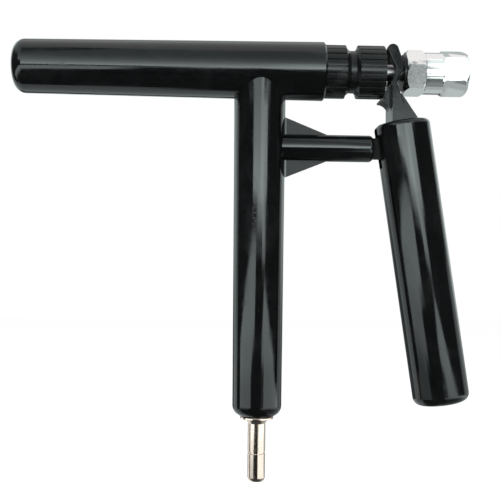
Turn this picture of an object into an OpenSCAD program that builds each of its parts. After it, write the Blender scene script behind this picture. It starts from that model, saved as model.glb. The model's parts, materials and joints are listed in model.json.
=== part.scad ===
// Hand vacuum pump: a squeeze lever pulls a piston along the barrel, and a spring pushes it back.
// Millimetres. X runs along the barrel towards the rod, Z is up, and the front faces -Y.
// The origin is on the grip's axis, at the shoulder where the hose plug begins.

/* [Barrel] */
// Height of the barrel's axis above the hose shoulder
barrel_z = 168.8; // [166:0.2:174]
// Length of the barrel left of the grip's axis
tail_length = 118; // [90:1:130]
// Length of the barrel right of the grip's axis, to the cap's seam
mouth_length = 30.9; // [30.7:0.1:31.2]
// Outside diameter at the closed tail
tail_d = 25.5; // [24:0.5:27]
// Outside diameter at the mouth
mouth_d = 28; // [27:0.5:30]
// Edge round of the closed tail
tail_round = 5.6; // [3:0.2:6]
// Radius of the tail's shallow dome
tail_crown = 34; // [28:1:80]
// Bevel on the barrel's mouth
mouth_bevel = 0.8; // [0.4:0.1:1.2]
// Bore of the closed reservoir in the tail
reservoir_d = 16; // [12:0.5:17]
// Thickness of the tail's end wall
tail_wall = 4; // [3:0.5:8]
// Bore of the pump chamber
pump_bore = 18.6; // [18.2:0.1:18.8]
// Place of the step between reservoir and chamber, right of the grip's axis
bore_step = 8; // [7:0.1:8.4]
// Diameter of the threaded spigot that takes the cap
spigot_d = 21.8; // [21.4:0.1:22]
// Length of the threaded spigot
spigot_length = 7.8; // [7:0.1:8]

/* [Grip] */
// Diameter of the grip where it meets the barrel
grip_top_d = 24.8; // [24:0.2:26]
// Diameter of the grip at its lower end
grip_bottom_d = 23.4; // [23:0.2:25]
// Edge round of the grip's lower end
grip_round = 5.2; // [4:0.2:5.4]
// Radius of the shallow dome under the grip
grip_crown = 200; // [120:10:400]
// Air bore of the grip
grip_bore = 10; // [8:0.5:10.5]

/* [Strut] */
// Drop of the strut's axis below the barrel's axis
strut_drop = 37; // [35:0.5:39]
// Diameter of the strut
strut_d = 12.8; // [12:0.2:13.4]
// End of the strut's full diameter, from the grip's axis
strut_end = 54.6; // [52:0.2:55]
// Edge round of the strut's end
strut_round = 2; // [1:0.2:3]
// Height of the tongue that enters the lever
tongue_h = 9.6; // [9:0.2:10]
// Thickness of the tongue
tongue_t = 6; // [5:0.5:7]
// Thickness of the two gussets
gusset_t = 3; // [2:0.5:4]
// Reach of the gussets along the strut, from the grip's axis
gusset_reach = 33; // [28:1:38]
// Reach of the gussets along the grip, above and below the strut's axis
gusset_rise = 14.6; // [11:0.2:16]

/* [Lever] */
// Place of the pivot, from the grip's axis
pivot_x = 65; // [64.6:0.1:65.4]
// Diameter of the pivot pin
pin_d = 4; // [3:0.2:4]
// Length of the pivot pin
pin_length = 13; // [11:0.5:13.5]
// Diameter of the lever's tube
lever_d = 26.8; // [26.2:0.2:27.4]
// Bore of the lever's tube
lever_bore = 20.4; // [19:0.2:21]
// Lean of the lever from the grip
lever_lean = 8.6; // [8:0.1:9]
// Length of the lever's tube
lever_length = 136.4; // [110:0.2:150]
// Place of the tube's top centre, from the grip's axis
lever_top_x = 68.6; // [68.2:0.1:69]
// Drop of the tube's top centre below the barrel's axis
lever_top_drop = 24; // [23.5:0.1:24.5]
// Edge round at the top of the tube
lever_top_round = 2.4; // [1:0.2:2.4]
// Edge round at the bottom of the tube
lever_bottom_round = 4; // [2:0.5:6]
// Thickness of the tube's closed bottom
lever_floor = 4; // [3:0.5:8]
// Height of the tongue's slot above the pivot
slot_above = 6; // [5.6:0.2:7]
// Depth of the tongue's slot below the pivot
slot_below = 9.6; // [9.2:0.2:11]

/* [Fork] */
// Width of the fork across the rod
fork_w = 16.8; // [15.6:0.2:17]
// Gap between the two prongs
fork_gap = 9.2; // [8.8:0.1:10]
// Radius of the nose that pushes the thrust washer
nose_r = 2.1; // [1.9:0.1:2.3]
// Height of the nose above the barrel's axis
nose_z = 2.3; // [2:0.1:2.6]
// Drop of the nose's lower round below its upper one
nose_drop = 1.7; // [1.4:0.1:2]
// Offset of the nose's centre from the leg's left side
nose_offset = 3.4; // [3.3:0.1:3.6]
// Left side of the fork's legs, from the grip's axis
fork_left = 62.6; // [62.4:0.1:62.8]
// Height of the prongs above the barrel's axis
fork_top = 12.3; // [11.6:0.1:12.8]
// Width of the prongs at their tips
tip_w = 5.4; // [5:0.1:5.6]
// Lean of the tips to the left of the legs
tip_lean = 2.5; // [2:0.1:2.6]
// Depth of the bend behind the nose
bend_depth = 1.7; // [1.3:0.1:1.8]
// Height of that bend above the barrel's axis
bend_z = 0.7; // [0.4:0.1:1]
// Drop of the bend's foot below the barrel's axis
bend_drop = 3.7; // [3.2:0.1:4.2]
// Thickness of the leg at the hollow under the nose
waist_w = 2.4; // [2.2:0.1:2.8]
// Drop of the hollow's narrowest place below the barrel's axis
waist_drop = 6.2; // [5.8:0.1:6.6]
// Width of the leg above the tube
leg_w = 5.5; // [5:0.1:5.8]
// Slope of the leg under the hollow
leg_slope = 22; // [18:1:26]
// Width of the fork's foot on the tube's top
foot_w = 13.3; // [12:0.1:13.6]
// Drop of the rear web's top below the barrel's axis
web_drop = 11; // [10:0.2:12]
// Step from the legs' faces back to the rear web
web_step = 1.2; // [0.8:0.1:1.6]
// Reach of the lip under the cap to the left of the legs
lip_reach = 5.2; // [4.6:0.1:5.4]
// Drop of the lip's top below the barrel's axis
lip_drop = 13.9; // [13.7:0.1:14.4]
// Thickness of the lip at its edge
lip_t = 0.9; // [0.6:0.1:1.2]
// Reach of the shoulder above the lip to the left of the legs
shoulder_reach = 2.6; // [2:0.1:2.7]
// Drop of the shoulder's left corner below the barrel's axis
shoulder_drop = 9.4; // [8.6:0.2:10]
// Length of the fork's plug in the lever's tube
plug_length = 27; // [26:1:60]

/* [End cap] */
// Length of the cap
cap_length = 28.3; // [28.1:0.1:28.4]
// Diameter over the ribs
cap_d = 25.4; // [25:0.1:26]
// Number of ribs round each band
ribs = 24; // [20:1:36]
// Depth of the ribs
rib_depth = 0.4; // [0.3:0.05:0.5]
// Bevel at the ends of the ribbed bands
rib_bevel = 0.5; // [0.3:0.1:0.7]
// Length of the band beside the barrel
left_band = 9.7; // [9.5:0.1:9.8]
// Length of the band beside the lever
right_band = 12.3; // [12.1:0.1:12.5]
// Width of the flat floor of the groove
groove_floor = 2.6; // [2.4:0.1:2.8]
// Length of the groove's steeper side
groove_slope = 1.6; // [1.2:0.1:1.8]
// Depth of the groove between the bands
groove_depth = 2.6; // [2:0.1:2.6]
// Bore of the spring's chamber
spring_chamber = 15; // [14.6:0.1:15.2]
// Thickness of the cap's end wall
cap_wall = 4.4; // [4:0.1:5]
// Number of air vents in the end wall
vents = 3; // [2:1:6]
// Diameter of the air vents
vent_d = 1.4; // [1:0.1:1.4]
// Thickness of the rod bush's flange
bush_flange_t = 1; // [0.8:0.1:1.2]
// Wall of the rod bush
bush_wall = 1.2; // [1:0.1:1.3]
// Thickness of the ring between spigot and cap
gasket_t = 1; // [0.8:0.1:1.1]

/* [Piston] */
// Diameter of the piston rod
rod_d = 8; // [7:0.5:8]
// Diameter of the rod where it holds the piston
stud_d = 5; // [4:0.5:5]
// Thickness of the valve plate
plate_t = 3; // [2.4:0.1:3]
// Thickness of the ring under the valve plate
plate_seal_t = 1; // [0.8:0.1:1]
// Number of air ports in the valve plate
ports = 4; // [3:1:6]
// Diameter of the air ports
port_hole_d = 2; // [1.5:0.1:2]
// Diameter of the umbrella valve's disc
umbrella_d = 11; // [10.4:0.2:12]
// Thickness of the umbrella valve's disc
umbrella_t = 1; // [0.8:0.1:1]
// Diameter of the umbrella valve's stem
valve_stem_d = 2.4; // [2:0.1:2.6]
// Diameter of the bulb that holds the stem
bulb_d = 3.6; // [3.2:0.1:4]
// Length of the bulb
bulb_h = 1.4; // [1:0.1:2]
// Radius of the circle of air ports
port_circle_r = 3.2; // [3.1:0.1:3.6]
// Gap between the valve and the rod's end at rest
rest_gap = 0.5; // [0.3:0.1:0.6]
// Size of the piston's nut across its flats
piston_nut_af = 8; // [7.5:0.5:10]
// Thickness of the piston's nut
piston_nut_t = 2.7; // [2.4:0.1:2.7]
// Thickness of the piston's disc
piston_t = 3.5; // [3:0.1:3.6]
// Thickness of the cup's wall
cup_wall = 1.4; // [1.2:0.1:1.5]
// Length of the cup's lip past its wall
cup_lip = 3.4; // [2.5:0.1:3.5]
// Thickness of the backing washer
backing_t = 1.2; // [1:0.1:1.4]
// Diameter of the spring's wire
wire_d = 1; // [0.8:0.1:1.2]
// Mean diameter of the spring
coil_d = 10.2; // [10:0.1:10.6]
// Working turns of the spring
active_turns = 7; // [5:1:8]
// Gap between the close turns at the spring's ends
close_gap = 0.6; // [0.5:0.1:0.8]

/* [Rod fittings] */
// Size of both hexagons across their flats
hex_af = 19.4; // [18:0.2:20]
// Bevel on the hexagons' corners
hex_bevel = 1.4; // [0.8:0.1:1.6]
// Thickness of the washer at the fork
thrust_t = 1.2; // [1:0.1:1.4]
// Diameter of the washer at the fork
thrust_d = 17.4; // [16.4:0.2:18]
// Thickness of the first nut
nut_t = 9.2; // [8:0.2:10]
// Diameter of the neck between the hexagons
neck_d = 20; // [18:0.2:20.4]
// Length of the neck between the hexagons
neck_length = 7.6; // [6:0.2:8]
// Length of the second hexagon
end_hex_length = 13.8; // [12:0.2:14]
// Edge round of the second hexagon's end
end_hex_round = 4; // [2:0.5:5]
// Turn of the first hexagon about the rod
nut_turn = 20; // [0:1:60]
// Turn of the second hexagon about the rod
end_hex_turn = 58; // [0:1:60]

/* [Hose plug] */
// Diameter of the hose plug
plug_d = 8.4; // [8.2:0.2:9]
// Length of the hose plug below the shoulder
hose_length = 27.6; // [20:0.2:32]
// Depth of the groove below the shoulder
hose_groove_z = 13.5; // [8:0.1:18]
// Width of the groove
hose_groove_w = 0.8; // [0.5:0.1:1.5]
// Depth of the groove into the plug
hose_groove_depth = 0.4; // [0.2:0.1:0.6]
// Edge round of the plug's tip
tip_round = 2; // [1:0.1:2]
// Air bore of the plug
air_bore = 3.4; // [2:0.2:3.6]
// Diameter of the plug's collar
collar_d = 10.8; // [10.2:0.2:12]
// Height of the plug's collar
collar_h = 2.2; // [1:0.1:2.6]
// Diameter of the washer under the grip
washer_d = 15.8; // [14:0.2:17]
// Thickness of the washer under the grip
washer_t = 1.1; // [1:0.1:2]
// Length of the plug's stem inside the grip
stem_length = 15; // [10:1:20]
// Height of the ring round the stem
stem_seal_h = 1.5; // [1:0.1:2]
// Wall of the ring round the stem
stem_seal_wall = 1; // [0.8:0.1:1.2]

/* [Fits] */
// Radial clearance of what turns or slides
running = 0.04; // [0.02:0.01:0.08]
// Clearance of threads and pushed-in pieces
seat = 0.02; // [0.01:0.01:0.05]
// Gap between faces of different moving pieces
gap = 0.3; // [0.25:0.05:0.35]
// Gap between the spring's ends and their seats
spring_gap = 0.2; // [0.1:0.1:0.3]

/* [Hidden] */
$fn = 96;

// How far a cutting shape runs past the face it cuts
over = 1;
strut_z = barrel_z - strut_drop;
grip_bottom_z = collar_h + washer_t;

// Places along the barrel, from left to right
plate_x = bore_step + plate_seal_t;
valve_x = plate_x + plate_t;
rod_start = valve_x + umbrella_t + rest_gap;
nut_overhang = 0.5;
piston_nut_x = rod_start + nut_overhang;
piston_x = piston_nut_x + piston_nut_t;
cup_x = piston_x + piston_t;
backing_x = cup_x + cup_wall;
shoulder_x = backing_x + backing_t;
spigot_end = mouth_length + spigot_length;
cap_step = spigot_end + gasket_t;
cap_end = mouth_length + cap_length;
cap_wall_x = cap_end - cap_wall;
bush_flange_d = coil_d + wire_d + spring_gap;
bush_d = rod_d + 2 * bush_wall;
spring_end = cap_wall_x - bush_flange_t;

// The fork's nose stands one gap short of the washer that it pushes
nose_x = fork_left + nose_offset;
thrust_x = nose_x + nose_r + gap;
nut_x = thrust_x + thrust_t;
end_nut_x = nut_x + nut_t;
end_hex_x = end_nut_x + neck_length;
rod_tip_wall = 4;
// The fork's foot runs this far below the tube's slanting top before it is cut to it
foot_sink = 4;
rod_slot_room = 2;
// The gussets end a little inside the strut's round
gusset_sink = 0.4;
rod_end = end_hex_x + end_hex_length - rod_tip_wall;

gloss = [0.07, 0.07, 0.08];
satin = [0.1, 0.1, 0.11];
silver = [0.83, 0.84, 0.86];
nickel = [0.72, 0.68, 0.62];
dark_rubber = [0.14, 0.14, 0.14];
brass = [0.72, 0.58, 0.3];

// Turns a shape that stands on Z so that it lies along the barrel, its base at x
module along_barrel(x) {
  translate([x, 0, barrel_z]) rotate([0, 90, 0]) children();
}

// Stands a shape in the lever's tube, its zero at the middle of the tube's top
module in_lever() {
  translate([lever_top_x, 0, barrel_z - lever_top_drop]) rotate([0, -lever_lean, 0]) children();
}

// Extrudes an XZ outline to a width that is centred on the middle plane
module across(width) {
  translate([0, width / 2, 0]) rotate([90, 0, 0]) linear_extrude(width) children();
}

// Half outline of a round bar with a rounded and slightly domed end at its base
module domed_outline(r, edge, crown, top_r, h) {
  inner = r - edge;
  knuckle = crown - sqrt(pow(crown - edge, 2) - pow(inner, 2));
  reach = crown / (crown - edge) + 0.2;
  translate([inner, knuckle]) circle(edge);
  polygon([[0, knuckle], [r, knuckle], [top_r, h], [0, h]]);
  intersection() {
    translate([0, crown]) circle(crown, $fn = 360);
    polygon([
      [0, knuckle], [0, -over], [inner * reach, crown - (crown - knuckle) * reach], [inner, knuckle]
    ]);
  }
}

// Ring with a round bore
module ring(outer, inner, h) {
  difference() {
    cylinder(d = outer, h = h);
    translate([0, 0, -over]) cylinder(d = inner, h = h + 2 * over);
  }
}

// Cylinder with a bevel at both ends
module bevelled(d, h, bevel) {
  rotate_extrude() polygon([
    [0, 0], [d / 2 - bevel, 0], [d / 2, bevel], [d / 2, h - bevel], [d / 2 - bevel, h], [0, h]
  ]);
}

// Shares of a rib's pitch at which its side leaves the groove and reaches the flat top
rib_foot = 0.05;
rib_edge = 0.14;

// Outline of a ribbed band: each rib rises from the root to a flat top and falls again
function rib_outline(tip_r) = [
  for (i = [0 : ribs - 1])
    for (step = [[rib_foot, rib_depth], [rib_edge, 0], [1 - rib_edge, 0], [1 - rib_foot, rib_depth]])
      let (a = 360 / ribs * (i + step[0]), r = tip_r - step[1])
        [r * cos(a), r * sin(a)]
];

module ribbed_band(h) {
  intersection() {
    linear_extrude(h) polygon(rib_outline(cap_d / 2));
    bevelled(cap_d, h, rib_bevel);
  }
}

// Hexagonal bar that stands on Z
module hex_bar(af, h, turn) {
  rotate(turn) cylinder(d = af / cos(30), h = h, $fn = 6);
}

module barrel_outside() {
  mouth_r = mouth_d / 2;
  straight = tail_length + mouth_length - mouth_bevel;
  along_barrel(-tail_length) rotate_extrude() {
    domed_outline(tail_d / 2, tail_round, tail_crown, mouth_r, straight);
    polygon([
      [0, straight], [mouth_r, straight], [mouth_r - mouth_bevel, straight + mouth_bevel],
      [0, straight + mouth_bevel]
    ]);
  }
  along_barrel(mouth_length - over) cylinder(d = spigot_d, h = spigot_length + over);
}

module grip_outside() {
  translate([0, 0, grip_bottom_z])
    rotate_extrude()
      domed_outline(grip_bottom_d / 2, grip_round, grip_crown, grip_top_d / 2, barrel_z - grip_bottom_z);
}

module strut_outside() {
  translate([0, 0, strut_z]) rotate([0, 90, 0]) {
    cylinder(d = strut_d, h = strut_end - strut_round);
    translate([0, 0, strut_end - strut_round]) {
      rotate_extrude() translate([strut_d / 2 - strut_round, 0]) circle(strut_round);
      cylinder(r = strut_d / 2 - strut_round, h = strut_round);
    }
  }
  across(tongue_t) {
    translate([pivot_x, strut_z]) circle(d = tongue_h);
    translate([strut_end - strut_round, strut_z - tongue_h / 2])
      square([pivot_x - strut_end + strut_round, tongue_h]);
  }
  across(gusset_t)
    for (side = [-1, 1])
      polygon([
        [0, strut_z], [0, strut_z + side * gusset_rise], [grip_bottom_d / 2, strut_z + side * gusset_rise],
        [gusset_reach, strut_z + side * (strut_d / 2 - gusset_sink)], [gusset_reach, strut_z]
      ]);
}

module pump_body() {
  color(gloss) difference() {
    union() {
      barrel_outside();
      difference() {
        grip_outside();
        along_barrel(-grip_top_d) cylinder(d = reservoir_d, h = 2 * grip_top_d);
      }
      strut_outside();
    }
    along_barrel(tail_wall - tail_length) cylinder(d = reservoir_d, h = tail_length + mouth_length);
    along_barrel(bore_step) cylinder(d = pump_bore, h = spigot_end - bore_step + over);
    translate([0, 0, grip_bottom_z - over]) cylinder(d = grip_bore, h = barrel_z - grip_bottom_z + over);
    translate([0, 0, grip_bottom_z - over])
      cylinder(d = grip_bore + 2 * stem_seal_wall, h = stem_seal_h + over);
    translate([pivot_x, 0, strut_z]) rotate([90, 0, 0])
      cylinder(d = pin_d + 2 * running, h = tongue_t + 2 * over, center = true);
  }
}

module end_cap() {
  groove_right = cap_length - right_band;
  floor_end = groove_right - groove_slope;
  floor_r = cap_d / 2 - groove_depth;
  side_r = cap_d / 2 - rib_depth - rib_bevel;
  color(satin) along_barrel(mouth_length) difference() {
    union() {
      ribbed_band(left_band);
      translate([0, 0, groove_right]) ribbed_band(right_band);
      rotate_extrude() polygon([
        [0, left_band - over], [side_r, left_band - over], [side_r, left_band],
        [floor_r, floor_end - groove_floor], [floor_r, floor_end], [side_r, groove_right],
        [side_r, groove_right + over], [0, groove_right + over]
      ]);
    }
    translate([0, 0, -over]) cylinder(d = spigot_d + 2 * seat, h = cap_step - mouth_length + over);
    cylinder(d = spring_chamber, h = cap_length - cap_wall);
    cylinder(d = bush_d + 2 * seat, h = cap_length + over);
    for (i = [0 : vents - 1])
      rotate(i * 360 / vents + 90)
        translate([(bush_flange_d + spring_chamber) / 4, 0, 0]) cylinder(d = vent_d, h = cap_length + over);
  }
}

module cap_gasket() {
  color(dark_rubber) along_barrel(spigot_end) ring(spigot_d, spring_chamber, gasket_t);
}

module rod_bush() {
  color(brass) along_barrel(spring_end) difference() {
    union() {
      cylinder(d = bush_flange_d, h = bush_flange_t);
      cylinder(d = bush_d, h = bush_flange_t + cap_wall);
    }
    translate([0, 0, -over]) cylinder(d = rod_d + 2 * running, h = bush_flange_t + cap_wall + 2 * over);
  }
}

// The spring has one close turn at each end and open turns between
close_pitch = wire_d + close_gap;
spring_run = spring_end - shoulder_x - wire_d - 2 * spring_gap;
open_pitch = (spring_run - 2 * close_pitch) / active_turns;
rings_per_turn = 8;
wire_sides = 6;
all_turns = active_turns + 2;

// Distance along the spring after a number of turns
function spring_x(turns) =
  turns < 1 ? turns * close_pitch
  : turns > all_turns - 1 ? spring_run - (all_turns - turns) * close_pitch
  : close_pitch + (turns - 1) * open_pitch;

function coil_point(turns) = [
  coil_d / 2 * cos(360 * turns), coil_d / 2 * sin(360 * turns), spring_x(turns)
];

// Each end leaves the coil straight for one wire diameter
coil_path = [
  coil_point(0) - [0, wire_d, 0],
  for (i = [0 : all_turns * rings_per_turn]) coil_point(i / rings_per_turn),
  coil_point(all_turns) + [0, wire_d, 0]
];
coil_count = len(coil_path);

// Turn of each ring about the spring's axis, the same as its neighbour's on the straight ends
function coil_angle(i) = 360 * min(max(i - 1, 0), coil_count - 3) / rings_per_turn;

coil_skin = [
  for (i = [0 : coil_count - 1])
    for (k = [0 : wire_sides - 1])
      let (a = coil_angle(i), b = 360 * k / wire_sides, r = wire_d / 2)
        coil_path[i] + r * [cos(b) * cos(a), cos(b) * sin(a), sin(b)]
];
coil_faces = concat(
  [[for (k = [0 : wire_sides - 1]) k]],
  [
    for (i = [0 : coil_count - 2])
      for (k = [0 : wire_sides - 1])
        let (n = (k + 1) % wire_sides, low = i * wire_sides, high = low + wire_sides)
          [low + k, high + k, high + n, low + n]
  ],
  [[for (k = [wire_sides - 1 : -1 : 0]) (coil_count - 1) * wire_sides + k]]
);

// Least distance between wire surfaces that are at least half a turn apart
least_gap = min([
  for (i = [0 : coil_count - 1])
    for (j = [i + rings_per_turn / 2 : 1 : coil_count - 1])
      norm(coil_path[i] - coil_path[j])
]) - wire_d;
echo(spring_least_gap = least_gap);

module return_spring() {
  color(silver) along_barrel(shoulder_x + spring_gap + wire_d / 2)
    polyhedron(coil_skin, coil_faces);
}

module valve_seal() {
  color(dark_rubber) along_barrel(bore_step) ring(pump_bore - 2 * seat, reservoir_d, plate_seal_t);
}

module valve_plate() {
  color(brass) along_barrel(plate_x) difference() {
    cylinder(d = pump_bore - 2 * seat, h = plate_t);
    translate([0, 0, -over]) cylinder(d = valve_stem_d + 2 * seat, h = plate_t + 2 * over);
    for (i = [0 : ports - 1])
      rotate(i * 360 / ports) translate([port_circle_r, 0, -over])
        cylinder(d = port_hole_d, h = plate_t + 2 * over);
  }
}

module inlet_valve() {
  color(dark_rubber) {
    along_barrel(valve_x) cylinder(d = umbrella_d, h = umbrella_t);
    along_barrel(plate_x - bulb_h) {
      cylinder(d = bulb_d, h = bulb_h);
      cylinder(d = valve_stem_d, h = bulb_h + plate_t + umbrella_t);
    }
  }
}

module port_plug() {
  shaft_r = plug_d / 2;
  color(nickel) difference() {
    union() {
      translate([0, 0, tip_round - hose_length]) {
        rotate_extrude() translate([shaft_r - tip_round, 0]) circle(tip_round);
        translate([0, 0, -tip_round]) cylinder(r = shaft_r - tip_round, h = tip_round);
        cylinder(r = shaft_r, h = hose_length - tip_round);
      }
      cylinder(d1 = plug_d, d2 = collar_d, h = collar_h);
      translate([0, 0, collar_h]) cylinder(d = grip_bore - 2 * seat, h = washer_t + stem_length);
    }
    translate([0, 0, -hose_groove_z - hose_groove_w])
      ring(plug_d + 2 * over, plug_d - 2 * hose_groove_depth, hose_groove_w);
    translate([0, 0, -hose_length - over])
      cylinder(d = air_bore, h = hose_length + collar_h + washer_t + stem_length + 2 * over);
  }
}

module port_washer() {
  color(nickel) translate([0, 0, collar_h]) ring(washer_d, grip_bore, washer_t);
}

module port_seal() {
  color(dark_rubber) translate([0, 0, grip_bottom_z])
    ring(grip_bore + 2 * stem_seal_wall, grip_bore, stem_seal_h);
}

module piston_rod() {
  color(silver) {
    along_barrel(rod_start) cylinder(d = stud_d, h = shoulder_x - rod_start);
    along_barrel(shoulder_x) cylinder(d = rod_d, h = rod_end - shoulder_x);
  }
}

module piston() {
  color(satin) along_barrel(piston_x) ring(pump_bore - 2 * gap, stud_d, piston_t);
}

module piston_cup() {
  lip_d = pump_bore - 2 * running;
  color(dark_rubber) along_barrel(cup_x) difference() {
    cylinder(d = lip_d, h = cup_wall + cup_lip);
    translate([0, 0, cup_wall]) cylinder(d = lip_d - 2 * cup_wall, h = cup_lip + over);
    translate([0, 0, -over]) cylinder(d = stud_d, h = cup_wall + 2 * over);
  }
}

module piston_washer() {
  color(silver) along_barrel(backing_x) ring(spring_chamber - 2 * gap, stud_d, backing_t);
}

module piston_nut() {
  color(silver) along_barrel(piston_nut_x) difference() {
    hex_bar(piston_nut_af, piston_nut_t, 0);
    translate([0, 0, -over]) cylinder(d = stud_d, h = piston_nut_t + 2 * over);
  }
}

module thrust_washer() {
  color(satin) along_barrel(thrust_x) ring(thrust_d, rod_d, thrust_t);
}

module rod_nut() {
  color(silver) along_barrel(nut_x) difference() {
    intersection() {
      hex_bar(hex_af, nut_t, nut_turn);
      bevelled(hex_af / cos(30), nut_t, hex_bevel);
    }
    translate([0, 0, -over]) cylinder(d = rod_d, h = nut_t + 2 * over);
  }
}

module cap_nut() {
  corner_r = hex_af / cos(30) / 2;
  color(silver) along_barrel(end_nut_x) difference() {
    union() {
      cylinder(d = neck_d, h = neck_length + over);
      translate([0, 0, neck_length]) intersection() {
        hex_bar(hex_af, end_hex_length, end_hex_turn);
        rotate_extrude() {
          polygon([
            [0, 0], [corner_r - hex_bevel, 0], [corner_r, hex_bevel],
            [corner_r, end_hex_length - end_hex_round], [0, end_hex_length - end_hex_round]
          ]);
          translate([corner_r - end_hex_round, end_hex_length - end_hex_round]) circle(end_hex_round);
          square([corner_r - end_hex_round, end_hex_length]);
        }
      }
    }
    translate([0, 0, -over]) cylinder(d = rod_d, h = rod_end - end_nut_x + over);
  }
}

// Space that the strut's tongue needs in the lever as it swings, up to a height above the pivot
module tongue_slot(above) {
  across(tongue_t + 2 * gap) {
    translate([pivot_x - lever_d, strut_z - slot_below]) square([lever_d, above + slot_below]);
    translate([pivot_x, strut_z]) circle(d = tongue_h + 2 * gap);
  }
}

// The tube's slot is open at its top, so the tube slides on over the pinned tongue and hides the pin
module lever_handle() {
  lever_r = lever_d / 2;
  straight = lever_length - lever_top_round;
  color(gloss) difference() {
    in_lever() difference() {
      translate([0, 0, -lever_length]) rotate_extrude() {
        domed_outline(lever_r, lever_bottom_round, grip_crown, lever_r, straight);
        translate([lever_r - lever_top_round, straight]) circle(lever_top_round);
        translate([0, straight]) square([lever_r - lever_top_round, lever_top_round]);
      }
      translate([0, 0, lever_floor - lever_length]) cylinder(d = lever_bore, h = lever_length);
    }
    tongue_slot(lever_d);
  }
}

// A prong in side view: a straight leg, a hollow, a round nose and a tip that leans back over the cap
module prong_outline() {
  low = barrel_z - lever_top_drop - foot_sink;
  nose = [nose_x, barrel_z + nose_z];
  chin = nose - [0, nose_drop];
  tip_r = tip_w / 2;
  tip = [fork_left - tip_lean + tip_r, barrel_z + fork_top - tip_r];
  bend = [fork_left + bend_depth, barrel_z + bend_z];

  // The hollow's radius makes it run smoothly into the chin
  waist = [fork_left + waist_w, barrel_z - waist_drop];
  rise = chin - waist;
  hollow_r = (pow(rise[0], 2) + pow(rise[1], 2) - pow(nose_r, 2)) / (2 * (rise[0] + nose_r));
  hollow = waist + [hollow_r, 0];
  under_chin = chin + (hollow - chin) * nose_r / (hollow_r + nose_r);
  slope_top = hollow - hollow_r * [cos(leg_slope), sin(leg_slope)];
  slope_foot = [fork_left + leg_w, slope_top[1] - (fork_left + leg_w - slope_top[0]) / tan(leg_slope)];

  // The tip's two sides touch its round
  span = tip - nose;
  front = atan2(span[1], span[0]) - acos((nose_r - tip_r) / norm(span));
  fall = bend - tip;
  back = atan2(fall[1], fall[0]) - acos(tip_r / norm(fall));
  difference() {
    polygon([
      [fork_left, low], [fork_left + leg_w, low], slope_foot, slope_top, under_chin,
      chin + [nose_r, 0], nose + [nose_r, 0], nose + nose_r * [cos(front), sin(front)],
      tip + tip_r * [cos(front), sin(front)], tip + tip_r * [cos(back), sin(back)],
      bend, [fork_left, barrel_z - bend_drop]
    ]);
    translate(hollow) circle(hollow_r);
  }
  translate(chin) circle(nose_r);
  translate(nose) circle(nose_r);
  translate(tip) circle(tip_r);
}

// The web behind the prongs, which spreads to the fork's foot
module web_outline() {
  foot = barrel_z - lever_top_drop;
  polygon([
    [fork_left, foot - foot_sink], [fork_left + foot_w, foot - foot_sink], [fork_left + foot_w, foot],
    [fork_left + waist_w + nose_r, barrel_z - web_drop], [fork_left, barrel_z - web_drop]
  ]);
}

// The lip between the prongs, hollow below, that stands out under the cap, and the shoulder over it
module lip_outline() {
  lip_left = fork_left - lip_reach;
  lip_under = barrel_z - lip_drop - lip_t;
  lip_foot = lip_under - lip_reach;
  difference() {
    translate([lip_left, lip_foot]) square([lip_reach + waist_w, lip_reach + lip_t]);
    translate([lip_left, lip_foot]) circle(lip_reach);
  }
  polygon([
    [fork_left - shoulder_reach, lip_under], [fork_left + waist_w, lip_under],
    [fork_left + waist_w, barrel_z - waist_drop], [fork_left, barrel_z - waist_drop],
    [fork_left - shoulder_reach, barrel_z - shoulder_drop]
  ]);
}

// The fork stands on the tube's top, and its plug carries the pivot pin inside the tube
module lever_yoke() {
  color(satin) difference() {
    union() {
      difference() {
        union() {
          across(fork_w) prong_outline();
          across(fork_w - 2 * web_step) web_outline();
          across(fork_gap) lip_outline();
        }
        in_lever() difference() {
          translate([-lever_d, -lever_d, -2 * lever_d]) cube(2 * lever_d);
          translate([0, 0, -foot_sink]) cylinder(d = lever_bore - 2 * seat - 2 * over, h = foot_sink + over);
        }
        across(fork_gap)
          translate([fork_left - lip_reach - over, barrel_z - rod_d / 2 - rod_slot_room])
            square([lever_d, fork_top + rod_d + over]);
      }
      in_lever() translate([0, 0, -plug_length]) cylinder(d = lever_bore - 2 * seat, h = plug_length);
    }
    tongue_slot(slot_above);
    translate([pivot_x, 0, strut_z]) rotate([90, 0, 0])
      cylinder(d = pin_d + 2 * seat, h = lever_d, center = true);
  }
}

module pivot_pin() {
  color(satin) translate([pivot_x, 0, strut_z]) rotate([90, 0, 0])
    cylinder(d = pin_d, h = pin_length, center = true);
}

pump_body();
end_cap();
cap_gasket();
rod_bush();
return_spring();
valve_plate();
valve_seal();
inlet_valve();
port_plug();
port_washer();
port_seal();
piston_rod();
piston();
piston_cup();
piston_washer();
piston_nut();
thrust_washer();
rod_nut();
cap_nut();
lever_handle();
lever_yoke();
pivot_pin();
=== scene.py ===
import json
import math
import bmesh
import bpy
from mathutils import Matrix, Vector


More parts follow.
